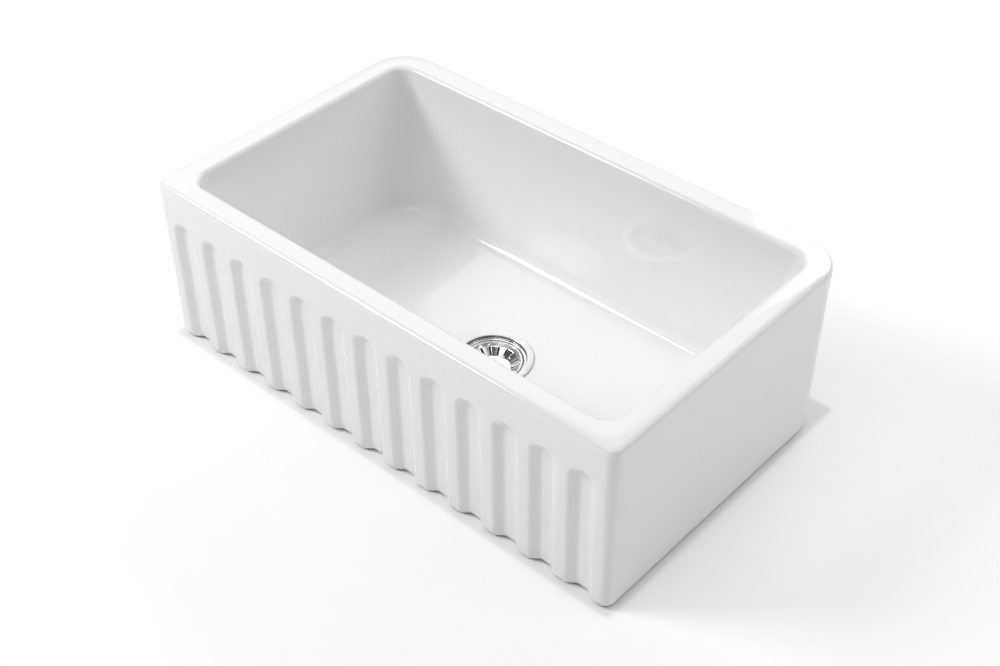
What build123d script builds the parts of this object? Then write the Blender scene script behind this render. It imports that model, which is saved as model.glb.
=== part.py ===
"""Farmhouse apron front sink in glazed fireclay, with its basket strainer waste.

Millimetres. X runs along the sink, Y from the apron to the back, Z up.
The origin is the middle of the sink's flat base, under the centre of the rim.
"""

from build123d import *
from math import acos, atan, degrees
import os

# ---------------------------------------------------------------- driving dimensions

# Outside of the casting.
LENGTH = 762.0
DEPTH = 457.0
HEIGHT = 254.0
BACK_DRAFT = 8.0
BACK_CORNER_R = 57.0
FRONT_CORNER_R = 14.0
RIM_OUTER_R = 7.5
RIM_INNER_R = 7.0
BASE_EDGE_R = 7.0

# Bowl: widths of the rim, draft of the walls and rounding of the corners.
END_RIM = 34.0
FRONT_RIM = 33.5
BACK_RIM = 37.5
WALL_DRAFT = 8.0
BOWL_CORNER_R = 25.0
FLOOR_CORNER_R = 60.0
FLOOR_FILLET_R = 20.0
FLOOR_Z = 20.5
FLOOR_SLOPE = 0.012

# Flutes of the apron: upright grooves with sloping sides and round tops.
FLUTE_COUNT = 13
FLUTE_PITCH = 56.1
FLUTE_DEPTH = 8.3
FLUTE_HALF_WIDTH = 19.4
FLUTE_SIDE_ANGLE = 53.0
FLUTE_EDGE_R = 8.0
FLUTE_TOP_Z = 184.0

# Waste hole, its flat seat in the floor, and the shallow recess in the underside.
WASTE_Y = -2.0
WASTE_HOLE_R = 47.5
SEAT_R = 62.0
RECESS_R = 66.0
RECESS_DEPTH = 6.0
HOLE_EDGE_R = 1.5

# Pressed dish of the waste, in sheet steel.
SHEET = 0.8
FLANGE_R = 56.4
FLANGE_SEAL_H = 1.0
FLANGE_LIP = 1.4
MOUTH_R = 46.0
LEDGE_OUTER_R = 45.6
LEDGE_INNER_R = 42.3
LEDGE_Z = 18.0
DISH_BOTTOM_R = 41.6
DISH_FLOOR_Z = -9.0
FUNNEL_R = 23.0
HUB_R = 12.0
HUB_Z = -16.0
WINDOW_COUNT = 6
WINDOW_OUTER_R = 21.5
WINDOW_INNER_R = 12.6
SPOKE_WIDTH = 4.5

# Moulded lower cup with the outlet, hung under the sink.
BODY_SEAL_H = 3.0
CUP_FLANGE_R = 59.0
CUP_FLANGE_H = 4.5
CUP_WALL = 3.5
CUP_TOP_R = 46.5
CUP_LOW_R = 45.5
CUP_LOW_Z = -22.0
NECK_Z = -40.0
OUTLET_R = 23.9
OUTLET_BORE_R = 20.3
OUTLET_END_Z = -66.0
CUP_HUB_R = 10.5
CUP_HUB_TOP_Z = -30.0
CUP_HUB_END_Z = -46.0
RIB_COUNT = 3
RIB_WIDTH = 3.0

# Clamp screw, its washer and its nut.
SCREW_R = 3.9
SCREW_HOLE_R = 4.3
SCREW_END_Z = -48.0
SCREW_HEAD_R = 7.5
SCREW_HEAD_H = 8.5
SCREW_WASHER_R = 9.0
SCREW_WASHER_H = 1.2
SOCKET_R = 4.2
SOCKET_DEPTH = 7.0
DRIVER_SLOT_WIDTH = 2.0
DRIVER_SLOT_DEPTH = 2.5
NUT_ACROSS_FLATS = 13.0
NUT_H = 8.0
NUT_BORE_R = 3.95
NUT_CLEARANCE = 0.1

# Strainer basket, in sheet steel.
BASKET_R = 41.2
BASKET_RIM_Z = 17.2
BASKET_LIP = 2.4
BAND_TOP_R = 38.1
BAND_LOW_R = 36.6
BAND_LOW_Z = 11.0
BASKET_FLOOR_R = 24.0
BASKET_FLOOR_Z = 4.6
BOSS_R = 10.5
BOSS_TOP_R = 8.5
BOSS_RISE = 2.0
SLOT_COUNT = 18
SLOT_WIDTH = 2.7
SLOT_OUTER_R = 36.4
SLOT_INNER_R = 24.6
FIRST_SLOT = 18.0

# Plug seal, stem and knob of the basket.
SEAL_TOP_R = 13.0
SEAL_R = 29.0
SEAL_SHOULDER_H = 4.0
SEAL_LIP_R = 24.5
SEAL_WEB_Z = -3.5
SEAL_POCKET_R = 15.5
SEAL_HOLE_R = 3.3
RETAINER_R = 11.0
RETAINER_H = 1.0
STEM_R = 2.9
STEM_FOOT_R = 3.6
STEM_END_Z = -12.5
STEM_TIP_R = 2.4
STEM_TOP_Z = 13.0
GROOVE_Z = -9.0
GROOVE_R = 2.6
GROOVE_WIDTH = 1.8
RING_SECTION_R = 0.7
RING_R = 3.4
KNOB_WASHER_R = 6.0
KNOB_WASHER_H = 0.8
KNOB_R = 6.5
KNOB_NECK_R = 4.2
KNOB_TOP_Z = 15.6
KNOB_SIDE_Z = 13.2
KNOB_EDGE_R = 0.9
KNOB_CAP_Z = 11.6
KNOB_NECK_Z = 10.0
STEM_HOLE_R = 3.0

# Derived heights and planes.
FRONT_Y = -DEPTH / 2
CUP_TOP_Z = RECESS_DEPTH - BODY_SEAL_H
FLANGE_TOP_Z = FLOOR_Z + FLANGE_SEAL_H + SHEET
HEAD_BASE_Z = HUB_Z + SCREW_WASHER_H
HEAD_TOP_Z = HEAD_BASE_Z + SCREW_HEAD_H
BOSS_Z = BASKET_FLOOR_Z + BOSS_RISE
SEAL_TOP_Z = BASKET_FLOOR_Z - SHEET
RETAINER_Z = SEAL_WEB_Z - RETAINER_H
WASTE_AXIS = Axis((0, WASTE_Y, 0), (0, 0, 1))
WASTE_PROFILE = Plane.XZ.offset(-WASTE_Y)
# Clear of the part on every side, for shapes that only cut.
BEYOND = 30.0


def waste_plane(z):
    """Level plane at height z, centred on the waste."""
    return Plane((0, WASTE_Y, z))


def finish(piece, name):
    """Label a finished piece and write it to its own file."""
    piece.part.label = name
    export_step(piece.part, f"parts/{name}.step")


def turned(points):
    """Turn a closed outline of (radius, height) points about the waste's axis."""
    with BuildSketch(WASTE_PROFILE) as profile:
        with BuildLine():
            Polyline(*points, close=True)
        make_face()
    revolve(profile.sketch, axis=WASTE_AXIS)


def pressed(points, radii):
    """Turn sheet steel about the waste's axis: points follow its upper face from the lip inwards."""
    with BuildSketch(WASTE_PROFILE) as profile:
        with BuildLine() as face_line:
            FilletPolyline(*points, radius=radii)
            offset(face_line.line, amount=SHEET, side=Side.LEFT, mode=Mode.ADD)
        make_face()
    revolve(profile.sketch, axis=WASTE_AXIS)


def bowl_outline(z):
    """Length, depth and corner radius of the bowl at height z: it narrows and rounds towards the floor."""
    fall = (HEIGHT - z) / (HEIGHT - FLOOR_Z)
    length = LENGTH - 2 * END_RIM - 2 * WALL_DRAFT * fall
    depth = DEPTH - FRONT_RIM - BACK_RIM - 2 * WALL_DRAFT * fall
    radius = BOWL_CORNER_R + (FLOOR_CORNER_R - BOWL_CORNER_R) * fall
    return length, depth, radius


os.makedirs("parts", exist_ok=True)

# ---------------------------------------------------------------- sink body

BOWL_MIDDLE_Y = (FRONT_RIM - BACK_RIM) / 2
FLOOR_REACH = LENGTH / 2 + BEYOND

# The hollow of the bowl, whose floor falls gently to the flat seat of the waste.
with BuildPart() as bowl_space:
    for z in (HEIGHT + BEYOND, FLOOR_Z - BEYOND / 2):
        outline_length, outline_depth, corner_r = bowl_outline(z)
        with BuildSketch(Plane((0, BOWL_MIDDLE_Y, z))):
            RectangleRounded(outline_length, outline_depth, corner_r)
    loft(ruled=True)
    with BuildSketch(WASTE_PROFILE):
        with BuildLine():
            Polyline(
                (0, FLOOR_Z),
                (SEAT_R, FLOOR_Z),
                (FLOOR_REACH, FLOOR_Z + FLOOR_SLOPE * (FLOOR_REACH - SEAT_R)),
                (FLOOR_REACH, HEIGHT + 2 * BEYOND),
                (0, HEIGHT + 2 * BEYOND),
                close=True,
            )
        make_face()
    revolve(axis=WASTE_AXIS, mode=Mode.INTERSECT)
    wall_foot = (
        bowl_space.edges()
        .filter_by(lambda e: e.center().Z < FLOOR_Z + BEYOND / 2)
        .filter_by(lambda e: abs(e.center().X) + abs(e.center().Y) > 2 * SEAT_R)
    )
    fillet(wall_foot, FLOOR_FILLET_R)


def flute_edges(part, y):
    """Edges of the flutes that lie in the upright plane at y."""
    return (
        part.edges()
        .filter_by(lambda e: abs(e.center().Y - y) < 0.01)
        .filter_by(lambda e: e.bounding_box().size.Y < 0.01)
        .filter_by(lambda e: abs(e.center().X) < LENGTH / 2 - 1.5 * FRONT_CORNER_R)
        .filter_by(lambda e: BASE_EDGE_R < e.center().Z < HEIGHT - RIM_OUTER_R)
    )


with BuildPart() as sink_body:
    with BuildSketch():
        Rectangle(LENGTH, DEPTH)
    extrude(amount=HEIGHT)
    back_wall = sink_body.faces().sort_by(Axis.Y)[-1]
    draft(back_wall, Plane.XY.offset(HEIGHT), -degrees(atan(BACK_DRAFT / HEIGHT)))
    uprights = sink_body.edges().filter_by(lambda e: e.bounding_box().size.Z > HEIGHT - 1)
    fillet(uprights.filter_by(lambda e: e.center().Y > 0), BACK_CORNER_R)
    front_uprights = sink_body.edges().filter_by(Axis.Z).sort_by(Axis.Y)[:2]
    fillet(front_uprights, FRONT_CORNER_R)

    # Flutes: each a straight groove that runs off the base and ends in a round top.
    with BuildSketch(Plane.XZ.offset(-FRONT_Y)):
        for i in range(FLUTE_COUNT):
            flute_x = (i - (FLUTE_COUNT - 1) / 2) * FLUTE_PITCH
            with Locations((flute_x, FLUTE_TOP_Z)):
                Circle(FLUTE_HALF_WIDTH)
            with Locations((flute_x, (FLUTE_TOP_Z - BEYOND) / 2)):
                Rectangle(2 * FLUTE_HALF_WIDTH, FLUTE_TOP_Z + BEYOND)
    extrude(amount=-FLUTE_DEPTH, taper=FLUTE_SIDE_ANGLE, mode=Mode.SUBTRACT)
    fillet(flute_edges(sink_body, FRONT_Y + FLUTE_DEPTH), FLUTE_EDGE_R)
    fillet(flute_edges(sink_body, FRONT_Y), FLUTE_EDGE_R)

    add(bowl_space.part, mode=Mode.SUBTRACT)
    rim = sink_body.faces().filter_by(Axis.Z).sort_by(Axis.Z)[-1]
    fillet(rim.inner_wires()[0].edges(), RIM_INNER_R)
    rim = sink_body.faces().filter_by(Axis.Z).sort_by(Axis.Z)[-1]
    fillet(rim.outer_wire().edges(), RIM_OUTER_R)
    base = sink_body.faces().filter_by(Axis.Z).sort_by(Axis.Z)[0]
    fillet(base.outer_wire().edges(), BASE_EDGE_R)

    with BuildSketch(waste_plane(0)):
        Circle(RECESS_R)
    extrude(amount=RECESS_DEPTH, mode=Mode.SUBTRACT)
    with BuildSketch(waste_plane(0)):
        Circle(WASTE_HOLE_R)
    extrude(amount=FLOOR_Z + BEYOND, mode=Mode.SUBTRACT)
    hole_rims = (
        sink_body.edges()
        .filter_by(GeomType.CIRCLE)
        .filter_by(lambda e: abs(e.radius - WASTE_HOLE_R) < 0.01)
    )
    fillet(hole_rims, HOLE_EDGE_R)
finish(sink_body, "sink_body")

# ---------------------------------------------------------------- waste dish and seals

with BuildPart() as flange_seal:
    with BuildSketch(waste_plane(FLOOR_Z)):
        Circle(FLANGE_R - 2 * SHEET)
        Circle(WASTE_HOLE_R + HOLE_EDGE_R, mode=Mode.SUBTRACT)
    extrude(amount=FLANGE_SEAL_H)
finish(flange_seal, "flange_seal")

with BuildPart() as waste_dish:
    pressed(
        [
            (FLANGE_R, FLANGE_TOP_Z - FLANGE_LIP),
            (FLANGE_R, FLANGE_TOP_Z),
            (MOUTH_R, FLANGE_TOP_Z),
            (LEDGE_OUTER_R, LEDGE_Z),
            (LEDGE_INNER_R, LEDGE_Z),
            (DISH_BOTTOM_R, DISH_FLOOR_Z),
            (FUNNEL_R, DISH_FLOOR_Z),
            (HUB_R, HUB_Z),
            (SCREW_HOLE_R, HUB_Z),
        ],
        [1.0, 1.6, 0.8, 1.5, 5.0, 2.0, 2.0],
    )
    # Waterways between the spokes that carry the hub.
    with BuildSketch(waste_plane(HUB_Z - BEYOND)):
        Circle(WINDOW_OUTER_R)
        Circle(WINDOW_INNER_R, mode=Mode.SUBTRACT)
        with PolarLocations(0, WINDOW_COUNT // 2, angular_range=180):
            Rectangle(2 * FUNNEL_R, SPOKE_WIDTH, mode=Mode.SUBTRACT)
    extrude(amount=2 * BEYOND, mode=Mode.SUBTRACT)
finish(waste_dish, "waste_dish")

with BuildPart() as body_seal:
    with BuildSketch(waste_plane(CUP_TOP_Z)):
        Circle(CUP_FLANGE_R - 1)
        Circle(WASTE_HOLE_R + HOLE_EDGE_R, mode=Mode.SUBTRACT)
    extrude(amount=BODY_SEAL_H)
finish(body_seal, "body_seal")

# ---------------------------------------------------------------- lower cup

# The waterway of the cup: a funnel and the outlet bore, less the hub and its ribs.
with BuildPart() as cup_space:
    turned(
        [
            (0, CUP_TOP_Z + BEYOND),
            (CUP_TOP_R, CUP_TOP_Z + BEYOND),
            (CUP_TOP_R, CUP_TOP_Z),
            (CUP_LOW_R, CUP_LOW_Z),
            (OUTLET_BORE_R, NECK_Z),
            (OUTLET_BORE_R, OUTLET_END_Z - BEYOND),
            (0, OUTLET_END_Z - BEYOND),
        ]
    )
    with BuildSketch(waste_plane(CUP_HUB_END_Z)):
        Circle(CUP_HUB_R)
        with PolarLocations(CUP_TOP_R / 2, RIB_COUNT, start_angle=90):
            Rectangle(CUP_TOP_R, RIB_WIDTH)
    extrude(amount=CUP_HUB_TOP_Z - CUP_HUB_END_Z, mode=Mode.SUBTRACT)

with BuildPart() as waste_body:
    turned(
        [
            (0, CUP_TOP_Z),
            (CUP_FLANGE_R, CUP_TOP_Z),
            (CUP_FLANGE_R, CUP_TOP_Z - CUP_FLANGE_H),
            (CUP_TOP_R + CUP_WALL, CUP_TOP_Z - CUP_FLANGE_H),
            (CUP_LOW_R + CUP_WALL, CUP_LOW_Z - CUP_WALL),
            (OUTLET_R, NECK_Z - CUP_WALL),
            (OUTLET_R, OUTLET_END_Z),
            (0, OUTLET_END_Z),
        ]
    )
    add(cup_space.part, mode=Mode.SUBTRACT)
    with BuildSketch(waste_plane(CUP_HUB_END_Z)):
        Circle(SCREW_HOLE_R)
    extrude(amount=CUP_HUB_TOP_Z - CUP_HUB_END_Z, mode=Mode.SUBTRACT)
    with BuildSketch(waste_plane(CUP_HUB_END_Z)):
        RegularPolygon((NUT_ACROSS_FLATS + NUT_CLEARANCE) / 2, 6, major_radius=False)
    extrude(amount=NUT_H, mode=Mode.SUBTRACT)
    outlet_mouth = waste_body.edges().filter_by(GeomType.CIRCLE).group_by(Axis.Z)[0]
    chamfer(outlet_mouth, 1)
finish(waste_body, "waste_body")

# ---------------------------------------------------------------- clamp screw, washer and nut

with BuildPart() as screw_washer:
    with BuildSketch(waste_plane(HUB_Z)):
        Circle(SCREW_WASHER_R)
        Circle(SCREW_HOLE_R, mode=Mode.SUBTRACT)
    extrude(amount=SCREW_WASHER_H)
finish(screw_washer, "screw_washer")

with BuildPart() as clamp_screw:
    turned(
        [
            (0, SCREW_END_Z),
            (SCREW_R - 1, SCREW_END_Z),
            (SCREW_R, SCREW_END_Z + 1),
            (SCREW_R, HEAD_BASE_Z),
            (SCREW_HEAD_R, HEAD_BASE_Z),
            (SCREW_HEAD_R, HEAD_TOP_Z - 1),
            (SCREW_HEAD_R - 1, HEAD_TOP_Z),
            (SOCKET_R, HEAD_TOP_Z),
            (SOCKET_R, HEAD_TOP_Z - SOCKET_DEPTH),
            (0, HEAD_TOP_Z - SOCKET_DEPTH),
        ]
    )
    with BuildSketch(waste_plane(HEAD_TOP_Z - DRIVER_SLOT_DEPTH)):
        Rectangle(2 * SCREW_HEAD_R + 2, DRIVER_SLOT_WIDTH)
    extrude(amount=2 * DRIVER_SLOT_DEPTH, mode=Mode.SUBTRACT)
finish(clamp_screw, "clamp_screw")

with BuildPart() as clamp_nut:
    with BuildSketch(waste_plane(CUP_HUB_END_Z)):
        RegularPolygon(NUT_ACROSS_FLATS / 2, 6, major_radius=False)
        Circle(NUT_BORE_R, mode=Mode.SUBTRACT)
    extrude(amount=NUT_H)
finish(clamp_nut, "clamp_nut")

# ---------------------------------------------------------------- strainer basket

with BuildPart() as basket_cup:
    pressed(
        [
            (BASKET_R, BASKET_RIM_Z - BASKET_LIP),
            (BASKET_R, BASKET_RIM_Z),
            (BAND_TOP_R, BASKET_RIM_Z),
            (BAND_LOW_R, BAND_LOW_Z),
            (BASKET_FLOOR_R, BASKET_FLOOR_Z),
            (BOSS_R, BASKET_FLOOR_Z),
            (BOSS_TOP_R, BOSS_Z),
            (STEM_HOLE_R, BOSS_Z),
        ],
        [1.2, 1.3, 1.5, 2.0, 1.2, 1.2],
    )
    with BuildSketch(waste_plane(BASKET_FLOOR_Z - BEYOND)):
        slot_length = SLOT_OUTER_R - SLOT_INNER_R
        with PolarLocations(SLOT_INNER_R + slot_length / 2, SLOT_COUNT, start_angle=FIRST_SLOT):
            SlotOverall(slot_length, SLOT_WIDTH)
    extrude(amount=2 * BEYOND, mode=Mode.SUBTRACT)
finish(basket_cup, "basket_cup")

with BuildPart() as basket_seal:
    turned(
        [
            (SEAL_HOLE_R, SEAL_TOP_Z),
            (SEAL_TOP_R, SEAL_TOP_Z),
            (SEAL_R - 0.5, DISH_FLOOR_Z + SEAL_SHOULDER_H),
            (SEAL_R, DISH_FLOOR_Z),
            (SEAL_LIP_R, DISH_FLOOR_Z),
            (SEAL_LIP_R - 2, DISH_FLOOR_Z + SEAL_SHOULDER_H / 2),
            (SEAL_POCKET_R, SEAL_WEB_Z),
            (SEAL_HOLE_R, SEAL_WEB_Z),
        ]
    )
finish(basket_seal, "basket_seal")

with BuildPart() as seal_retainer:
    with BuildSketch(waste_plane(RETAINER_Z)):
        Circle(RETAINER_R)
        Circle(STEM_HOLE_R, mode=Mode.SUBTRACT)
    extrude(amount=RETAINER_H)
finish(seal_retainer, "seal_retainer")

with BuildPart() as basket_stem:
    turned(
        [
            (0, STEM_END_Z),
            (STEM_TIP_R, STEM_END_Z),
            (STEM_FOOT_R, STEM_END_Z + 1.5),
            (STEM_FOOT_R, GROOVE_Z - GROOVE_WIDTH / 2),
            (GROOVE_R, GROOVE_Z - GROOVE_WIDTH / 2),
            (GROOVE_R, GROOVE_Z + GROOVE_WIDTH / 2),
            (STEM_FOOT_R, GROOVE_Z + GROOVE_WIDTH / 2),
            (STEM_FOOT_R, RETAINER_Z),
            (STEM_R, RETAINER_Z),
            (STEM_R, STEM_TOP_Z),
            (0, STEM_TOP_Z),
        ]
    )
finish(basket_stem, "basket_stem")

with BuildPart() as stem_ring:
    with BuildSketch(WASTE_PROFILE):
        with Locations((RING_R, GROOVE_Z)):
            Circle(RING_SECTION_R)
    revolve(axis=WASTE_AXIS)
finish(stem_ring, "stem_ring")

with BuildPart() as knob_washer:
    with BuildSketch(waste_plane(BOSS_Z)):
        Circle(KNOB_WASHER_R)
        Circle(STEM_HOLE_R, mode=Mode.SUBTRACT)
    extrude(amount=KNOB_WASHER_H)
finish(knob_washer, "knob_washer")

with BuildPart() as basket_knob:
    knob_foot_z = BOSS_Z + KNOB_WASHER_H
    dome_rise = KNOB_TOP_Z - KNOB_SIDE_Z
    # The top is part of a sphere centred on the axis.
    dome_r = (KNOB_R**2 + dome_rise**2) / (2 * dome_rise)
    dome_start = degrees(acos(KNOB_R / dome_r))
    with BuildSketch(WASTE_PROFILE):
        with BuildLine():
            Polyline(
                (0, STEM_TOP_Z),
                (STEM_HOLE_R, STEM_TOP_Z),
                (STEM_HOLE_R, knob_foot_z),
                (KNOB_WASHER_R - 1, knob_foot_z),
                (KNOB_NECK_R, KNOB_NECK_Z),
                (KNOB_R, KNOB_CAP_Z),
                (KNOB_R, KNOB_SIDE_Z),
            )
            CenterArc((0, KNOB_TOP_Z - dome_r), dome_r, dome_start, 90 - dome_start)
            Line((0, KNOB_TOP_Z), (0, STEM_TOP_Z))
        make_face()
    revolve(axis=WASTE_AXIS)
    knob_rings = basket_knob.edges().filter_by(GeomType.CIRCLE)
    dome_edge = knob_rings.filter_by(lambda e: abs(e.center().Z - KNOB_SIDE_Z) < 0.01)
    fillet(dome_edge, KNOB_EDGE_R)
finish(basket_knob, "basket_knob")
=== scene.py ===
"""Looks of the farmhouse apron front sink, dressed around its construction model.

Metres. X runs along the sink, Y from the apron to the back, Z up, and the origin
is the middle of the flat base. The glazed body, the pressed dish and the strainer
cup are surfaces worked out here; the other pieces keep their solids.
"""

from math import cos, pi, radians, sin

import bmesh
import bpy
import numpy as np
from mathutils import Matrix, Vector


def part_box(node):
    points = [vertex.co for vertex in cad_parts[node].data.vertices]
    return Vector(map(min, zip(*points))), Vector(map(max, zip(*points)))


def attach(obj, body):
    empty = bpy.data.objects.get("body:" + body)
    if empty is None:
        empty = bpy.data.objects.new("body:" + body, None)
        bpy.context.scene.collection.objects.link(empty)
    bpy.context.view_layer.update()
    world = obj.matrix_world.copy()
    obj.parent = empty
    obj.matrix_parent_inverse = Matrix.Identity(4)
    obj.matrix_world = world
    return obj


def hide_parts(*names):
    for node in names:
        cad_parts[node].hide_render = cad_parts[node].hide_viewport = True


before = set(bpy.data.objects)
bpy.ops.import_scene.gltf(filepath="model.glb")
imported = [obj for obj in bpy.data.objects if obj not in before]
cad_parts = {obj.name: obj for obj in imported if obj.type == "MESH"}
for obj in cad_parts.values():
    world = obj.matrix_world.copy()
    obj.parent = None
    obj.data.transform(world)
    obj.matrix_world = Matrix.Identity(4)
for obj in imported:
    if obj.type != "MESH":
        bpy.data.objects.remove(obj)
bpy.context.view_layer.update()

MM = 0.001

# ------------------------------------------------------------ sizes of the casting

SINK_LOW, SINK_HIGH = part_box("sink_body")
HALF_LENGTH = SINK_HIGH.x
FRONT_Y = SINK_LOW.y
BACK_Y = SINK_HIGH.y
RIM_Z = SINK_HIGH.z
BACK_DRAFT = 8 * MM
FRONT_CORNER_R = 14 * MM
BACK_CORNER_R = 57 * MM
RIM_OUTER_R = 7.5 * MM
RIM_INNER_R = 7 * MM
BASE_EDGE_R = 12 * MM

# Bowl: half sizes at the rim, the draft of its walls and its roundings.
END_RIM = 34 * MM
FRONT_RIM = 33.5 * MM
BACK_RIM = 37.5 * MM
WALL_DRAFT = 8 * MM
BOWL_CORNER_R = 25 * MM
FLOOR_CORNER_R = 60 * MM
FLOOR_FILLET_R = 20 * MM
FLOOR_Z = 20.5 * MM
FLOOR_SLOPE = 0.012
# The walls' draft ends at one height all round, for the floor's usual rise at its edge.
FLOOR_EDGE_RISE = 3 * MM
WALL_FOOT_Z = FLOOR_Z + FLOOR_FILLET_R + FLOOR_EDGE_RISE

# Flutes of the apron.
FLUTE_COUNT = 13
FLUTE_PITCH = 56.1 * MM
FLUTE_DEPTH = 8.3 * MM
FLUTE_HALF_WIDTH = 19.4 * MM
FLUTE_SIDE = radians(37)
FLUTE_EDGE_R = 8 * MM
FLUTE_TOP_Z = 184 * MM
# Both corners of a flute's section turn by the slope of its side, and their roundings
# begin this far from the corner and are this wide, measured level.
ROUNDING_REACH = FLUTE_EDGE_R * np.tan(FLUTE_SIDE / 2)
ROUNDING_WIDTH = FLUTE_EDGE_R * np.sin(FLUTE_SIDE)
CREST_D = FLUTE_HALF_WIDTH + ROUNDING_REACH
FOOT_D = FLUTE_HALF_WIDTH - FLUTE_DEPTH / np.tan(FLUTE_SIDE) - ROUNDING_REACH

# Waste hole, its flat seat and the recess in the underside.
WASTE = Vector((0, -2 * MM, 0))
SEAT_R = 62 * MM
HOLE_R = 47.5 * MM
HOLE_EDGE_R = 1.5 * MM
RECESS_R = 66 * MM
RECESS_DEPTH = 6 * MM
RECESS_EDGE_R = 0.8 * MM

# Steps of the body's grid along each stretch of a ring but the apron, and the heights
# between which its rows lie close together for the flutes' round tops.
FRONT_CORNER_STEPS = 9
END_STEPS = 18
BACK_CORNER_STEPS = 16
BACK_STEPS = 26
CLOSE_ROWS_FROM, CLOSE_ROWS_TO = 160 * MM, 210 * MM

# Pressed sheet of the waste: (radius, height) along the upper face from the lip
# inwards, in millimetres, and the rounding of each corner between.
SHEET = 0.8 * MM
DISH_LINE = [
    (56.4, 20.9), (56.4, 22.3), (46, 22.3), (45.6, 18), (42.3, 18), (41.6, -9), (23, -9), (12, -16),
    (4.3, -16),
]
DISH_BENDS = [1.0, 1.6, 0.8, 1.5, 5.0, 2.0, 2.0]
FLANGE_TOP_Z = 22.3 * MM
LEDGE_Z = 18 * MM
WINDOW_COUNT = 6
WINDOW_INNER_R = 12.6 * MM
WINDOW_OUTER_R = 21.5 * MM
SPOKE_WIDTH = 4.5 * MM
# The cup's floor lies a hair above the seal that it rests on.
CUP_LINE = [
    (41.2, 14.8), (41.2, 17.2), (38.1, 17.2), (36.6, 11), (24, 4.62), (10.5, 4.62), (8.5, 6.6), (3, 6.6),
]
CUP_BENDS = [1.2, 1.3, 1.5, 2.0, 1.2, 1.2]
SLOT_COUNT = 18
SLOT_WIDTH = 2.7 * MM
SLOT_INNER_R = 24.6 * MM
SLOT_OUTER_R = 36.4 * MM
FIRST_SLOT = radians(18)

# Bands of radii that hold the windows and the slots, and the rolls of their upper edges.
WINDOW_BAND = (12.5 * MM, 22.5 * MM)
SLOT_BAND = (24.46 * MM, 36.8 * MM)
WINDOW_ROLL = 0.2 * MM
SLOT_ROLL = 0.45 * MM
# How strongly points crowd towards a side's ends, the loops round a hole as shares of
# the way out to its sector's edge, and the distance within which two points are one.
CROWDING = 0.85
LOOP_SHARES = [1, 0.75, 0.5, 0.3, 0.16, 0.08, 0.0]
TOUCHING = 1e-6


# ------------------------------------------------------------ mesh helpers


def mesh_piece(name, points, faces, material):
    """A smooth mesh at the origin from an (n, 3) array of points and an (m, 4) array of corners."""
    mesh = bpy.data.meshes.new(name)
    mesh.vertices.add(len(points))
    mesh.vertices.foreach_set("co", np.ascontiguousarray(points, np.float32).ravel())
    mesh.loops.add(faces.size)
    mesh.loops.foreach_set("vertex_index", np.ascontiguousarray(faces, np.int32).ravel())
    mesh.polygons.add(len(faces))
    mesh.polygons.foreach_set("loop_start", np.arange(0, faces.size, faces.shape[1], dtype=np.int32))
    mesh.polygons.foreach_set("use_smooth", np.ones(len(faces), bool))
    mesh.update(calc_edges=True)
    mesh.validate()
    mesh.materials.append(material)
    piece = bpy.data.objects.new(name, mesh)
    bpy.context.scene.collection.objects.link(piece)
    return piece


def ring_faces(rows, columns, close_rows):
    """Corners of the quads between neighbours of a grid whose rows are rings.

    With close_rows the last ring is joined to the first as well.
    """
    row = np.arange(rows if close_rows else rows - 1)[:, None]
    column = np.arange(columns)[None, :]
    next_row = (row + 1) % rows
    next_column = (column + 1) % columns
    corners = [
        row * columns + column,
        row * columns + next_column,
        next_row * columns + next_column,
        next_row * columns + column,
    ]
    return np.stack(np.broadcast_arrays(*corners), axis=-1).reshape(-1, 4)


def arc_steps(count):
    """Angles of a quarter turn in even steps, both ends included."""
    return np.linspace(0, pi / 2, count + 1)


# ------------------------------------------------------------ the glazed body


def flute_columns():
    """Level places along the apron, and half the length of its straight stretch.

    Each half flute has even turns of its two roundings, four steps down its side and
    three across its floor, and is mirrored; the plain ends are one step each.
    """
    bend = FLUTE_EDGE_R * np.sin(np.linspace(0, FLUTE_SIDE, 6))
    crest, foot = CREST_D - bend, FOOT_D + bend[::-1]
    wall = np.linspace(crest[-1], foot[0], 5)[1:-1]
    half = np.concatenate([[FLUTE_PITCH / 2], crest, wall, foot, [FOOT_D * 0.66, FOOT_D * 0.33, 0]])
    one_flute = np.concatenate([-half, half[::-1][1:-1]])
    centres = (np.arange(FLUTE_COUNT) - (FLUTE_COUNT - 1) / 2) * FLUTE_PITCH
    across = (centres[:, None] + one_flute[None, :]).ravel()
    straight = HALF_LENGTH - FRONT_CORNER_R
    last = centres[-1] + FLUTE_PITCH / 2
    return np.concatenate([[-straight], across, [last]]), straight


def ring_columns():
    """The columns of every ring, in eight stretches from the front left corner anticlockwise.

    Each column is the number of its stretch and its fraction along that stretch.
    """
    places, straight = flute_columns()
    half_way = [FRONT_CORNER_STEPS, END_STEPS, BACK_CORNER_STEPS]
    steps = half_way + [BACK_STEPS] + half_way[::-1]
    stretches = [(places + straight) / (2 * straight)] + [np.arange(count) / count for count in steps]
    number = np.concatenate([np.full(len(s), i) for i, s in enumerate(stretches)])
    return number, np.concatenate(stretches)


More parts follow.
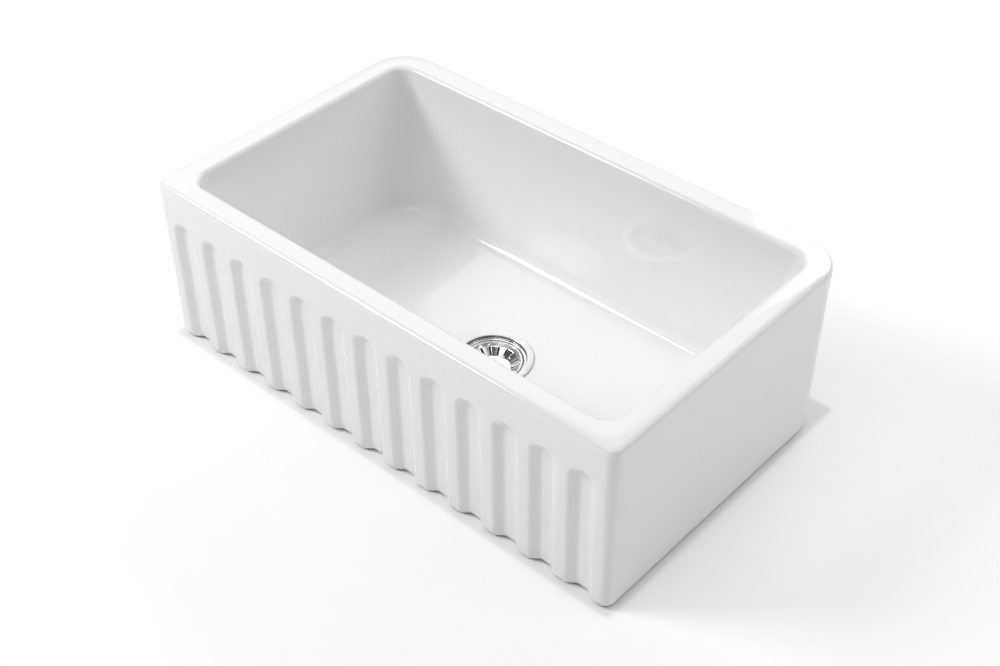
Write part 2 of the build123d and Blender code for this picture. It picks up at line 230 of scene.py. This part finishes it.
def rounded_ring(half_x, front, back, front_r, back_r):
    """Points of a rectangle with rounded corners for every column, one row for each set of sizes.

    Straight stretches are interpolated between their corners' ends, and corners are
    quarter circles about centres one radius in from both sides.
    """
    number, t = ring_columns()
    half_x, front, back, front_r, back_r = (
        np.atleast_1d(np.asarray(v, float))[:, None] for v in (half_x, front, back, front_r, back_r)
    )
    turn = t * pi / 2
    front_x, back_x = half_x - front_r, half_x - back_r
    front_c, back_c = front + front_r, back - back_r
    x = [
        -front_x + 2 * front_x * t,
        front_x + front_r * np.sin(turn),
        half_x + 0 * t,
        back_x + back_r * np.cos(turn),
        back_x - 2 * back_x * t,
        -back_x - back_r * np.sin(turn),
        -half_x + 0 * t,
        -front_x - front_r * np.cos(turn),
    ]
    y = [
        front + 0 * t,
        front_c - front_r * np.cos(turn),
        front_c + (back_c - front_c) * t,
        back_c + back_r * np.sin(turn),
        back + 0 * t,
        back_c + back_r * np.cos(turn),
        back_c + (front_c - back_c) * t,
        front_c - front_r * np.sin(turn),
    ]
    pick = [number == i for i in range(8)]
    return np.select(pick, x), np.select(pick, y)


def flute_section(distance):
    """Depth of a flute at a distance from its middle line.

    A flat floor, a concave arc, a sloping side, a convex arc and the flat land.
    """
    into_crest = np.clip(CREST_D - distance, 0, ROUNDING_WIDTH)
    from_foot = np.clip(distance - FOOT_D, 0, ROUNDING_WIDTH)
    crest = FLUTE_EDGE_R - np.sqrt(FLUTE_EDGE_R**2 - into_crest**2)
    foot = FLUTE_DEPTH - FLUTE_EDGE_R + np.sqrt(FLUTE_EDGE_R**2 - from_foot**2)
    side = (FLUTE_HALF_WIDTH - distance) * np.tan(FLUTE_SIDE)
    outer, inner = CREST_D - ROUNDING_WIDTH, FOOT_D + ROUNDING_WIDTH
    return np.where(distance > outer, crest, np.where(distance < inner, foot, side))


def flute_field(x, z):
    """Depth of the fluting at places on the apron.

    Each flute is a groove along an upright line that ends at the centre of its round
    top, so its depth depends only on the distance to that line.
    """
    nearest = np.round(x / FLUTE_PITCH + (FLUTE_COUNT - 1) / 2)
    nearest = np.clip(nearest, 0, FLUTE_COUNT - 1) - (FLUTE_COUNT - 1) / 2
    above = np.maximum(z - FLUTE_TOP_Z, 0)
    return flute_section(np.hypot(x - nearest * FLUTE_PITCH, above))


def bowl_half_sizes(z):
    """Half length, half depth and corner radius of the bowl at height z."""
    fall = (RIM_Z - z) / (RIM_Z - FLOOR_Z)
    half_depth = (BACK_Y - FRONT_Y - FRONT_RIM - BACK_RIM) / 2
    corner_r = BOWL_CORNER_R + (FLOOR_CORNER_R - BOWL_CORNER_R) * fall
    return HALF_LENGTH - END_RIM - WALL_DRAFT * fall, half_depth - WALL_DRAFT * fall, corner_r


def floor_height(x, y):
    """Height of the bowl's floor: flat round the waste and rising evenly outside that."""
    away = np.hypot(x - WASTE.x, y - WASTE.y)
    return FLOOR_Z + FLOOR_SLOPE * np.maximum(away - SEAT_R, 0)


def outside_rows():
    """Outer wall from the base's rounding up to the flat of the rim, with the fluting pressed in.

    The roundings of base and rim are quarter circles that draw every ring inwards, and
    the fluting sets the apron's points straight back.
    """
    turn = arc_steps(9)
    base = [BASE_EDGE_R * (1 - np.sin(turn)), BASE_EDGE_R * (1 - np.cos(turn))]
    wall_z = np.concatenate([
        np.linspace(BASE_EDGE_R, CLOSE_ROWS_FROM, 12)[1:],
        np.linspace(CLOSE_ROWS_FROM, CLOSE_ROWS_TO, 41)[1:],
        np.linspace(CLOSE_ROWS_TO, RIM_Z - RIM_OUTER_R, 5)[1:-1],
    ])
    turn = arc_steps(8)
    rim = [RIM_OUTER_R * (1 - np.cos(turn)), RIM_Z - RIM_OUTER_R * (1 - np.sin(turn))]
    inset = np.concatenate([base[0], np.zeros_like(wall_z), rim[0]])
    z = np.concatenate([base[1], wall_z, rim[1]])
    back = BACK_Y - BACK_DRAFT * (RIM_Z - z) / RIM_Z - inset
    front_r, back_r = FRONT_CORNER_R - inset, BACK_CORNER_R - inset
    x, y = rounded_ring(HALF_LENGTH - inset, FRONT_Y + inset, back, front_r, back_r)
    z = z[:, None] + 0 * x
    apron = ring_columns()[0] == 0
    return x, y + apron * flute_field(x, z), z


def bowl_ring(z, outward):
    """The bowl's rounded rectangle at height z, set outward by the same distance on every side and corner."""
    middle_y = (FRONT_Y + FRONT_RIM + BACK_Y - BACK_RIM) / 2
    half_x, half_y, corner = bowl_half_sizes(z)
    half_x, half_y, corner = half_x + outward, half_y + outward, corner + outward
    return rounded_ring(half_x, middle_y - half_y, middle_y + half_y, corner, corner)


def inside_rows():
    """Inner rounding of the rim, the bowl's walls, the fillet at their foot and the floor to the seat.

    The rounding and the fillet are quarter circles that set rings outward and inward,
    walls go in straight lines from one to the other, and the floor follows straight
    lines from its edge towards the waste's middle, in steps that shorten inwards.
    """
    wall_top_z = RIM_Z - RIM_INNER_R
    turn = arc_steps(8)[::-1]
    x, y = bowl_ring(wall_top_z, RIM_INNER_R * (1 - np.cos(turn)))
    rim_z = RIM_Z - RIM_INNER_R * (1 - np.sin(turn))
    rows = [(x, y, rim_z[:, None] + 0 * x)]

    down = np.linspace(0, 1, 13)[1:]
    x, y = bowl_ring(wall_top_z + (WALL_FOOT_Z - wall_top_z) * down, 0)
    foot = floor_height(x, y) + FLOOR_FILLET_R
    rows.append((x, y, wall_top_z + (foot - wall_top_z) * down[:, None]))

    turn = arc_steps(10)[1:]
    x, y = bowl_ring(WALL_FOOT_Z, -FLOOR_FILLET_R * (1 - np.cos(turn)))
    rows.append((x, y, floor_height(x, y) + FLOOR_FILLET_R * (1 - np.sin(turn))[:, None]))

    edge_x, edge_y = x[-1:] - WASTE.x, y[-1:] - WASTE.y
    edge_r = np.hypot(edge_x, edge_y)
    inward = (np.linspace(0, 1, 11)[1:] ** 0.8)[:, None]
    share = 1 - inward * (1 - SEAT_R / edge_r)
    x, y = WASTE.x + edge_x * share, WASTE.y + edge_y * share
    rows.append((x, y, floor_height(x, y)))
    return [np.concatenate(part) for part in zip(*rows)], np.arctan2(edge_y, edge_x)


def under_rows(heading):
    """The waste hole and the recess in the underside, as rings about the waste on the columns' headings."""
    quarter = arc_steps(4)
    small = arc_steps(2)
    radius = np.concatenate([
        HOLE_R + HOLE_EDGE_R * (1 - np.sin(quarter)),
        HOLE_R + HOLE_EDGE_R * (1 - np.cos(quarter)),
        RECESS_R - RECESS_EDGE_R * (1 - np.sin(small)),
        RECESS_R + RECESS_EDGE_R * (1 - np.cos(small)),
    ])
    z = np.concatenate([
        FLOOR_Z - HOLE_EDGE_R * (1 - np.cos(quarter)),
        RECESS_DEPTH + HOLE_EDGE_R * (1 - np.sin(quarter)),
        RECESS_DEPTH - RECESS_EDGE_R * (1 - np.cos(small)),
        RECESS_EDGE_R * (1 - np.sin(small)),
    ])
    x = WASTE.x + radius[:, None] * np.cos(heading)
    y = WASTE.y + radius[:, None] * np.sin(heading)
    return x, y, z[:, None] + 0 * x


def glazed_body(material):
    """The casting's whole surface as one closed grid.

    Rings run round the sink, and rows follow its section from the base up the outside,
    over the rim, down the bowl and through the waste hole back to the base.
    """
    outside = outside_rows()
    inside, heading = inside_rows()
    under = under_rows(heading)
    x, y, z = (np.concatenate(part) for part in zip(outside, inside, under))
    points = np.stack([x, y, z], axis=-1).reshape(-1, 3)
    body = mesh_piece("glazed_body", points, ring_faces(len(x), x.shape[1], True), material)
    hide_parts("sink_body")
    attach(body, "sink")


# ------------------------------------------------------------ the pressed sheet of the waste


def rounded_line(corners, bends, steps=7):
    """A line through corners, each inner one replaced by an arc of its bend radius that touches both sides.

    The arc's centre is on the corner's bisector, and its points turn evenly from one side to the other.
    """
    corners = np.array(corners, float) * MM
    points = [corners[:1]]
    for before, corner, after, bend in zip(corners, corners[1:], corners[2:], bends):
        back = (before - corner) / np.linalg.norm(before - corner)
        on = (after - corner) / np.linalg.norm(after - corner)
        half = np.arccos(np.clip(back @ on, -1, 1)) / 2
        reach = bend * MM / np.tan(half)
        middle = corner + (back + on) / np.linalg.norm(back + on) * bend * MM / np.sin(half)
        first, last = corner + back * reach - middle, corner + on * reach - middle
        span = pi - 2 * half
        turn = np.linspace(0, span, steps)[:, None]
        points.append(middle + (first * np.sin(span - turn) + last * np.sin(turn)) / np.sin(span))
    points.append(corners[-1:])
    return np.concatenate(points)


def sheet_faces(line):
    """The upper face's line and the lower one's, a sheet's thickness to its left, from the lip inwards."""
    along = np.gradient(line, axis=0)
    along /= np.linalg.norm(along, axis=1, keepdims=True)
    left = np.stack([-along[:, 1], along[:, 0]], axis=1)
    return line, line + left * SHEET


def height_at(line, radius):
    """Height of a line at given radii, read evenly between its points."""
    order = np.argsort(line[:, 0], kind="stable")
    return np.interp(radius, line[order, 0], line[order, 1])


def split_line(line, radius, outer):
    """The part of a line outside or inside a radius, ended exactly there."""
    cut = np.array([[radius, height_at(line, radius)]])
    if outer:
        return np.concatenate([line[line[:, 0] > radius + TOUCHING], cut])
    return np.concatenate([cut, line[line[:, 0] < radius - TOUCHING]])


def round_end(first, last, steps=4):
    """Points of a half circle from first to last that closes the sheet's edge, both ends left out."""
    middle, arm = (first + last) / 2, (first - last) / 2
    out = np.array([-arm[1], arm[0]])
    turn = np.linspace(0, pi, steps + 2)[1:-1, None]
    return middle + arm * np.cos(turn) + out * np.sin(turn)


def lathe(line, headings):
    """A line turned about the waste's axis to the given headings, as rows of rings."""
    x = WASTE.x + line[:, :1] * np.cos(headings)
    y = WASTE.y + line[:, :1] * np.sin(headings)
    z = line[:, 1:] + 0 * x
    return np.stack([x, y, z], axis=-1).reshape(-1, 3), ring_faces(len(line), len(headings), False)


def welded(name, patches, material):
    """One piece from patches of (points, faces), joined where their edges meet."""
    starts = np.cumsum([0] + [len(points) for points, _ in patches])
    points = np.concatenate([points for points, _ in patches])
    faces = np.concatenate([faces + start for (_, faces), start in zip(patches, starts)])
    piece = mesh_piece(name, points, faces, material)
    work = bmesh.new()
    work.from_mesh(piece.data)
    bmesh.ops.remove_doubles(work, verts=work.verts, dist=TOUCHING)
    work.to_mesh(piece.data)
    work.free()
    return piece


def crowded_run(sides):
    """Fractions along a side, the last left out: even steps less a share of a sine, which crowds them
    towards both ends."""
    even = np.linspace(0, 1, sides + 1)[:-1]
    return even - CROWDING * np.sin(2 * pi * even) / (2 * pi)


def slot_loop(ends, sides):
    """A slot's outline as (radius, heading): half circles at its two ends, joined by straight sides."""
    half_width = SLOT_WIDTH / 2
    outer, inner = SLOT_OUTER_R - half_width, SLOT_INNER_R + half_width
    turn = np.linspace(-pi / 2, pi / 2, ends + 1)[:-1]
    run = crowded_run(sides)
    u = [outer + half_width * np.cos(turn), outer + (inner - outer) * run]
    v = [half_width * np.sin(turn), half_width + 0 * run]
    u += [inner - half_width * np.cos(turn), inner + (outer - inner) * run]
    v += [-half_width * np.sin(turn), -half_width + 0 * run]
    u, v = np.concatenate(u), np.concatenate(v)
    return np.hypot(u, v), np.arctan2(v, u)


def window_loop(ends, sides):
    """A window's outline as (radius, heading): its outer arc, a spoke's edge, its inner arc and the next
    spoke's edge. A spoke's edge runs level with its middle line, half its width away."""
    half_spoke, half_sector = SPOKE_WIDTH / 2, pi / WINDOW_COUNT
    outer = half_sector - np.arcsin(half_spoke / WINDOW_OUTER_R)
    inner = half_sector - np.arcsin(half_spoke / WINDOW_INNER_R)
    run_r = WINDOW_OUTER_R + (WINDOW_INNER_R - WINDOW_OUTER_R) * crowded_run(sides)
    edge = half_sector - np.arcsin(half_spoke / run_r)
    back_r = WINDOW_INNER_R + (WINDOW_OUTER_R - WINDOW_INNER_R) * crowded_run(sides)
    back_edge = half_sector - np.arcsin(half_spoke / back_r)
    sweep = np.linspace(-1, 1, ends + 1)[:-1]
    radius = [WINDOW_OUTER_R + 0 * sweep, run_r, WINDOW_INNER_R + 0 * sweep, back_r]
    heading = [outer * sweep, edge, -inner * sweep, -back_edge]
    return np.concatenate(radius), np.concatenate(heading)


def sector_loop(inner_r, outer_r, half_sector, ends, sides):
    """The edge of one sector of the sheet as (radius, heading), point for point beside a hole's outline."""
    sweep = np.linspace(-half_sector, half_sector, ends + 1)[:-1]
    run = crowded_run(sides)
    radius = [outer_r + 0 * sweep, outer_r + (inner_r - outer_r) * run]
    radius += [inner_r + 0 * sweep, inner_r + (outer_r - inner_r) * run]
    heading = [sweep, half_sector + 0 * run, -sweep, -half_sector + 0 * run]
    return np.concatenate(radius), np.concatenate(heading)


def pierced_sector(upper, lower, hole, edge, middle, roll):
    """The sheet round one hole, as loops that go from the sector's edge in to the hole and back underneath.

    Loops are blends of the edge and the hole's outline, heights are read from the two
    faces' lines, and the upper face rolls over by a quarter circle at the hole.
    """
    share = np.array(LOOP_SHARES)[:, None]
    radius = hole[0] + (edge[0] - hole[0]) * share
    heading = middle + hole[1] + (edge[1] - hole[1]) * share
    away = np.hypot(radius - hole[0], (heading - middle - hole[1]) * radius)
    sunk = roll - np.sqrt(roll**2 - np.clip(roll - away, 0, roll) ** 2)
    top = height_at(upper, radius) - sunk
    bottom = height_at(lower, radius) + sunk / 2
    radius = np.concatenate([radius, radius[::-1]])
    heading = np.concatenate([heading, heading[::-1]])
    z = np.concatenate([top, bottom[::-1]])
    x, y = WASTE.x + radius * np.cos(heading), WASTE.y + radius * np.sin(heading)
    return np.stack([x, y, z], axis=-1).reshape(-1, 3), ring_faces(len(x), x.shape[1], False)


def pierced_sheet(name, material, corners, bends, hole, band, count, first, ends, sides, roll):
    """Sheet steel turned about the waste's axis, pierced by count like holes in a band of radii.

    Outside and inside the band the section is carried round whole, from one face over
    the sheet's rounded edge to the other. The band is made of sectors, one for each
    hole, the first at the heading first. A hole's outline takes ends points along each
    end and sides points along each side, and its upper edge is rolled by roll.
    """
    inner_r, outer_r = band
    upper, lower = sheet_faces(rounded_line(corners, bends))
    headings = first + (np.arange(count * ends) / ends - 0.5) * 2 * pi / count
    above, below = (split_line(face, outer_r, True) for face in (upper, lower))
    outside = np.concatenate([above[::-1], round_end(upper[0], lower[0]), below])
    above, below = (split_line(face, inner_r, False) for face in (upper, lower))
    inside = np.concatenate([above, round_end(upper[-1], lower[-1]), below[::-1]])
    patches = [lathe(outside[::-1], headings), lathe(inside[::-1], headings)]
    edge = sector_loop(inner_r, outer_r, pi / count, ends, sides)
    for i in range(count):
        middle = first + i * 2 * pi / count
        patches.append(pierced_sector(upper, lower, hole(ends, sides), edge, middle, roll))
    return welded(name, patches, material)


def waste_dish(material):
    """The dish with its flange, ledge and funnel, and the windows between its spokes."""
    dish = pierced_sheet(
        "pressed_dish", material, DISH_LINE, DISH_BENDS, window_loop, WINDOW_BAND,
        count=WINDOW_COUNT, first=pi / WINDOW_COUNT, ends=32, sides=10, roll=WINDOW_ROLL,
    )
    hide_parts("waste_dish")
    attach(dish, "sink")


def strainer_cup(material):
    """The lift-out cup, its slots pressed with rolled edges."""
    cup = pierced_sheet(
        "strainer_cup", material, CUP_LINE, CUP_BENDS, slot_loop, SLOT_BAND,
        count=SLOT_COUNT, first=FIRST_SLOT, ends=10, sides=22, roll=SLOT_ROLL,
    )
    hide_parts("basket_cup")
    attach(cup, "basket")


# ------------------------------------------------------------ shader maths


class Value:
    """A number that changes over a surface; Python's operators add the Math nodes."""

    def __init__(self, finish, socket):
        self.finish = finish
        self.socket = socket

    def maths(self, operation, *numbers):
        inputs = dict(enumerate(numbers))
        return self.finish.value("ShaderNodeMath", {"operation": operation}, inputs)

    def __add__(self, other):
        return self.maths("ADD", self, other)

    def __sub__(self, other):
        return self.maths("SUBTRACT", self, other)

    def __rsub__(self, other):
        return self.maths("SUBTRACT", other, self)

    def __mul__(self, other):
        return self.maths("MULTIPLY", self, other)

    def __truediv__(self, other):
        return self.maths("DIVIDE", self, other)

    def __rtruediv__(self, other):
        return self.maths("DIVIDE", other, self)

    def __pow__(self, other):
        return self.maths("POWER", self, other)

    def __abs__(self):
        return self.maths("ABSOLUTE", self)

    __radd__ = __add__
    __rmul__ = __mul__

    def at_least(self, low):
        return self.maths("MAXIMUM", self, low)


class Finish:
    """A node material around one Principled shader."""

    def __init__(self, name, **steady):
        self.material = bpy.data.materials.new(name)
        self.material.use_nodes = True
        self.tree = self.material.node_tree
        self.tree.nodes.clear()
        self.shader = self.node("ShaderNodeBsdfPrincipled", inputs=steady)
        self.node("ShaderNodeOutputMaterial", inputs={"Surface": self.shader.outputs["BSDF"]})
        self.place = self.node("ShaderNodeTexCoord").outputs["Object"]

    def node(self, kind, settings=None, inputs=None):
        """One node: its settings first, then the values or links of its sockets."""
        made = self.tree.nodes.new(kind)
        for setting, value in (settings or {}).items():
            setattr(made, setting, value)
        for key, value in (inputs or {}).items():
            self.feed(made.inputs[key], value)
        return made

    def feed(self, socket, value):
        if isinstance(value, Value):
            value = value.socket
        if isinstance(value, bpy.types.NodeSocket):
            self.tree.links.new(value, socket)
        else:
            socket.default_value = value

    def value(self, kind, settings=None, inputs=None):
        """A node's first output, as a number to reckon with."""
        return Value(self, self.node(kind, settings, inputs).outputs[0])

    def noise(self, size, detail=2.0, roughness=0.5, place=None):
        """Noise from 0 to 1 whose features are about size across."""
        inputs = {"Vector": place or self.place, "Scale": 1 / size, "Detail": detail, "Roughness": roughness}
        return self.value("ShaderNodeTexNoise", inputs=inputs)

    def along(self, low, high, value):
        """0 where value is low and 1 where it is high, with a smooth step between."""
        inputs = {"Value": value, "From Min": low, "From Max": high}
        return self.value("ShaderNodeMapRange", {"interpolation_type": "SMOOTHSTEP"}, inputs)

    def parts(self, vector):
        made = self.node("ShaderNodeSeparateXYZ", inputs={"Vector": vector})
        return [Value(self, made.outputs[axis]) for axis in "XYZ"]

    def joined(self, x, y, z):
        return self.node("ShaderNodeCombineXYZ", inputs={"X": x, "Y": y, "Z": z}).outputs[0]

    def blend(self, share, first, second):
        """Colour that goes from first to second with share."""
        made = self.node("ShaderNodeMix", {"data_type": "RGBA"}, {0: share, 6: first, 7: second})
        return made.outputs[2]

    def bump(self, height, distance, strength=1.0):
        inputs = {"Height": height, "Distance": distance, "Strength": strength}
        self.set("Normal", self.node("ShaderNodeBump", inputs=inputs).outputs["Normal"])

    def set(self, name, value):
        self.feed(self.shader.inputs[name], value)


def grey(level, warmth=0.0):
    """A near grey of the given linear level, a little redder and less blue with warmth."""
    return (level * (1 + warmth), level, level * (1 - warmth), 1.0)


# ------------------------------------------------------------ finishes


def glaze_finish():
    """White glaze over fireclay: even and glossy, faintly wavy, with a few pin specks.

    The glaze ends a millimetre above the base on an uneven line, and the underside is
    bare, rough clay.
    """
    glaze = Finish("white_glaze", **{"IOR": 1.5})
    height = glaze.parts(glaze.place)[2]
    cloud = glaze.noise(90 * MM, detail=3.0)
    fine = glaze.noise(7 * MM, detail=2.0)
    tone = glaze.blend(cloud, grey(0.892, 0.003), grey(0.908, 0.0))
    speck = glaze.along(0.80, 0.84, glaze.noise(2.2 * MM, detail=0.0))
    tone = glaze.blend(speck * 0.25, tone, grey(0.55, 0.05))
    bare = 1 - glaze.along(0.2 * MM, 1.2 * MM, height + (fine - 0.5) * (0.6 * MM))
    clay_grain = glaze.noise(1.1 * MM, detail=4.0, roughness=0.7)
    clay = glaze.blend(clay_grain, grey(0.42, 0.14), grey(0.62, 0.11))
    glaze.set("Base Color", glaze.blend(bare, tone, clay))
    glaze.set("Roughness", (0.04 + cloud * 0.025) * (1 - bare) + bare * 0.9)
    ripple = glaze.noise(34 * MM, detail=1.0) * 0.8 + fine * 0.02
    glaze.bump(ripple + bare * clay_grain * 0.4, 0.35 * MM, 0.35)
    return glaze.material


def metal_finish(name, colour, roughness, marks, flange=None):
    """Metal turned about the waste's axis: fine rings of tool marks, with faint stains and dulled patches.

    The marks are noise of the distance from the axis plus the height, so they follow
    turned faces and turned sides alike. A flange, given as the heights of its top and
    of the ledge below it, is satin on top, and its drawn wall down to the ledge is
    painted near black as a painted reflection of dark surroundings.
    """
    metal = Finish(name, **{"Metallic": 1.0, "IOR": 2.5})
    x, y, z = metal.parts(metal.place)
    radius = ((x - WASTE.x) ** 2 + (y - WASTE.y) ** 2) ** 0.5
    cut = {"W": (radius + z * 1.3) / (0.3 * MM), "Scale": 1.0}
    rings = metal.value("ShaderNodeTexNoise", {"noise_dimensions": "1D"}, cut)
    stain = metal.noise(14 * MM, detail=3.0)
    dulled = tuple(channel * 0.94 for channel in colour[:3]) + (1.0,)
    tone = metal.blend(stain, colour, dulled)
    blur = roughness * (0.75 + stain * 0.5) + rings * (0.04 * marks)
    if flange:
        top_z, ledge_z = flange
        on_top = metal.along(top_z - 0.5 * MM, top_z - 0.2 * MM, z)
        painted_reflection_wall = (1 - on_top) * metal.along(ledge_z, ledge_z + 0.5 * MM, z)
        # painted reflection: the drawn wall's colour is blended to near black, standing in for the dark
        # surroundings mirrored there
        tone = metal.blend(painted_reflection_wall * 0.85, tone, grey(0.05, 0.02))
        blur = blur + on_top * 0.22
    metal.set("Base Color", tone)
    metal.set("Roughness", blur)
    metal.bump(rings, 0.02 * MM, 0.25 * marks)
    return metal.material


def rubber_finish(name, level, roughness, grain_size, grain_depth):
    """Rubber or foam: near black or grey, mottled, dusty in patches, with a fine grain."""
    rubber = Finish(name, **{"IOR": 1.5})
    patch = rubber.noise(6 * MM, detail=3.0)
    grain = rubber.noise(grain_size, detail=3.0, roughness=0.65)
    clean, dusty = grey(level, 0.01), grey(level * 1.5 + 0.01, 0.02)
    rubber.set("Base Color", rubber.blend(patch * grain * 1.6, clean, dusty))
    rubber.set("Roughness", roughness + patch * 0.15)
    rubber.bump(grain, grain_depth, 0.6)
    return rubber.material


def plastic_finish():
    """Moulded white plastic with a satin skin and flow streaks, which are noise drawn out upwards."""
    plastic = Finish("moulded_white", **{"IOR": 1.49})
    x, y, z = plastic.parts(plastic.place)
    flow = plastic.noise(9 * MM, detail=3.0, place=plastic.joined(x, y, z * 0.2))
    skin = plastic.noise(0.6 * MM, detail=2.0)
    plastic.set("Base Color", plastic.blend(flow, grey(0.74, 0.012), grey(0.80, 0.004)))
    plastic.set("Roughness", 0.32 + flow * 0.1 + skin * 0.06)
    plastic.bump(skin * 0.3 + flow, 0.08 * MM, 0.35)
    return plastic.material


def fibre_finish():
    """Red fibre washer: pressed fibres laid every way, matt, paler where they stand proud."""
    fibre = Finish("red_fibre", **{"IOR": 1.45})
    x, y, z = fibre.parts(fibre.place)
    strands = fibre.noise(0.9 * MM, detail=4.0, place=fibre.joined(x * 0.25, y, z))
    crossing = fibre.noise(0.9 * MM, detail=4.0, place=fibre.joined(x, y * 0.25, z))
    mixed = strands * 0.5 + crossing * 0.5
    deep, proud = (0.26, 0.045, 0.03, 1.0), (0.46, 0.13, 0.08, 1.0)
    fibre.set("Base Color", fibre.blend(mixed, deep, proud))
    fibre.set("Roughness", 0.75 + mixed * 0.15)
    fibre.bump(mixed, 0.1 * MM, 0.6)
    return fibre.material


def dress(finish, *nodes):
    """Gives construction pieces whose solids are kept their finish."""
    for node in nodes:
        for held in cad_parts[node].material_slots:
            held.material = finish


# ------------------------------------------------------------ stage, light and camera

CAMERA_PLACE = Vector((1.06734, -1.15944, 1.40004))
CAMERA_HEADING = radians(132.302)
CAMERA_DOWN = radians(40.293)
CAMERA_ROLL = radians(-0.643)
SENSOR_WIDTH_MM = 36.0
LENS_MM = 55.988

# The stage floor and its glow, and the dome that holds the soft boxes.
FLOOR_HOLE_R = 64 * MM
FLOOR_REACH = 30.0
FLOOR_DROP = 0.05 * MM
FLOOR_RINGS = 24
FLOOR_SPOKES = 96
NEAR_GLOW = 0.18
NEAR_GLOW_FROM = 0.012
FAR_GLOW = 0.8
FAR_GLOW_FROM, FAR_GLOW_TO = 1.4, 3.6
DOME_R = 3.4
AIM = Vector((0, 0, 0.1))


def direction(heading, height):
    """Unit vector at a heading and at a height above level, both as angles."""
    return Vector((cos(height) * cos(heading), cos(height) * sin(heading), sin(height)))


def photo_camera():
    """Camera at the photograph's place, looking along its heading and down, and rolled about that line."""
    sight = direction(CAMERA_HEADING, -CAMERA_DOWN)
    level = direction(CAMERA_HEADING - pi / 2, 0)
    above = level.cross(sight)
    right = level * cos(CAMERA_ROLL) + above * sin(CAMERA_ROLL)
    up = above * cos(CAMERA_ROLL) - level * sin(CAMERA_ROLL)
    data = bpy.data.cameras.new("photo_camera")
    data.sensor_width = SENSOR_WIDTH_MM
    data.lens = LENS_MM
    data.clip_start = 0.05
    data.clip_end = 60
    camera = bpy.data.objects.new("photo_camera", data)
    turn = Matrix((right, up, -sight)).transposed()
    camera.matrix_world = Matrix.Translation(CAMERA_PLACE) @ turn.to_4x4()
    bpy.context.scene.collection.objects.link(camera)
    bpy.context.scene.camera = camera


def paper_with_painted_glow():
    """White paper with painted light: an emitted glow, left out against the sink as a painted contact shade,
    and stronger far away from it.

    How far a place is from the sink's outline is the length of what its distances from
    the middle, along and across, have over the sink's half sizes.
    """
    paper = Finish("stage_white", **{"Roughness": 0.9, "Specular IOR Level": 0.0})
    mottle = paper.noise(0.4, detail=2.0)
    paper.set("Base Color", paper.blend(mottle, grey(0.87), grey(0.89)))
    along, across = paper.parts(paper.place)[:2]
    beside = (abs(along) - HALF_LENGTH).at_least(0.0)
    before = (abs(across) + FRONT_Y).at_least(0.0)
    away = (beside**2 + before**2) ** 0.5
    # painted shade: the glow is zero at the sink's outline and rises to NEAR_GLOW a little way out, so the
    # floor darkens next to the sink
    near = paper.blend(paper.along(0.0, NEAR_GLOW_FROM, away), grey(0.0), grey(NEAR_GLOW))
    # painted light: the glow grows to FAR_GLOW far from the sink
    far = paper.along(FAR_GLOW_FROM, FAR_GLOW_TO, away)
    paper.set("Emission Color", paper.blend(far, near, grey(FAR_GLOW)))
    paper.set("Emission Strength", 1.0)
    return paper.material


def stage_floor(material):
    """Plain pale floor: rings that widen fast from a hole under the sink, where the waste hangs through."""
    radius = np.concatenate([[FLOOR_HOLE_R], np.geomspace(0.1, FLOOR_REACH, FLOOR_RINGS)])
    heading = np.arange(FLOOR_SPOKES) * 2 * pi / FLOOR_SPOKES
    level_line = np.stack([radius, 0 * radius - FLOOR_DROP], axis=1)
    floor = mesh_piece("stage_floor", *lathe(level_line, heading), material)


def surround(strength):
    """A plain white surround."""
    world = bpy.data.worlds.new("studio")
    world.use_nodes = True
    ground = world.node_tree.nodes["Background"]
    ground.inputs["Color"].default_value = grey(1.0)
    ground.inputs["Strength"].default_value = strength
    bpy.context.scene.world = world


def soft_box(name, heading, height, radiance, width=2.4, tall=1.6):
    """A rectangular soft box on a dome round the sink that faces it, with its power from its radiance.

    Its heading and height are angles in degrees, seen from the sink.
    """
    data = bpy.data.lights.new(name, "AREA")
    data.shape = "RECTANGLE"
    data.size = width
    data.size_y = tall
    data.energy = radiance * width * tall * pi
    lamp = bpy.data.objects.new(name, data)
    place = AIM + direction(radians(heading), radians(height)) * DOME_R
    facing = (AIM - place).to_track_quat("-Z", "Y")
    lamp.matrix_world = Matrix.Translation(place) @ facing.to_matrix().to_4x4()
    bpy.context.scene.collection.objects.link(lamp)


def studio_light():
    """A dim surround, a small bright box at the front left, and large ones overhead, right and behind."""
    surround(0.05)
    soft_box("key_box", heading=222, height=40, radiance=13.4, width=1.1, tall=1.1)
    soft_box("front_high_box", heading=270, height=66, radiance=2.6)
    soft_box("right_high_box", heading=10, height=66, radiance=1.1)
    soft_box("right_box", heading=30, height=38, radiance=1.6)
    soft_box("back_box", heading=90, height=30, radiance=3.4)
    soft_box("back_left_box", heading=145, height=40, radiance=1.2, width=3.4)
    bpy.context.scene.view_settings.view_transform = "Standard"


# ------------------------------------------------------------ putting it together

black_rubber = rubber_finish("black_rubber", 0.022, 0.45, 0.5 * MM, 0.05 * MM)
grey_foam = rubber_finish("grey_foam", 0.16, 0.75, 0.8 * MM, 0.25 * MM)
plain_steel = metal_finish("plain_steel", grey(0.58, 0.01), 0.26, 1.6)
glazed_body(glaze_finish())
waste_dish(metal_finish("bright_steel", grey(0.97, 0.002), 0.14, 0.5, (FLANGE_TOP_Z, LEDGE_Z)))
strainer_cup(metal_finish("polished_steel", grey(0.80, 0.006), 0.12, 1.0))
dress(grey_foam, "flange_seal")
dress(black_rubber, "body_seal", "basket_seal", "stem_ring")
dress(plastic_finish(), "waste_body")
dress(plain_steel, "clamp_screw", "seal_retainer", "basket_stem", "knob_washer")
dress(fibre_finish(), "screw_washer")
dress(metal_finish("machined_brass", (0.80, 0.56, 0.25, 1.0), 0.24, 1.4), "clamp_nut")
dress(metal_finish("bright_chrome", grey(0.90, -0.004), 0.06, 0.3), "basket_knob")
photo_camera()
stage_floor(paper_with_painted_glow())
studio_light()
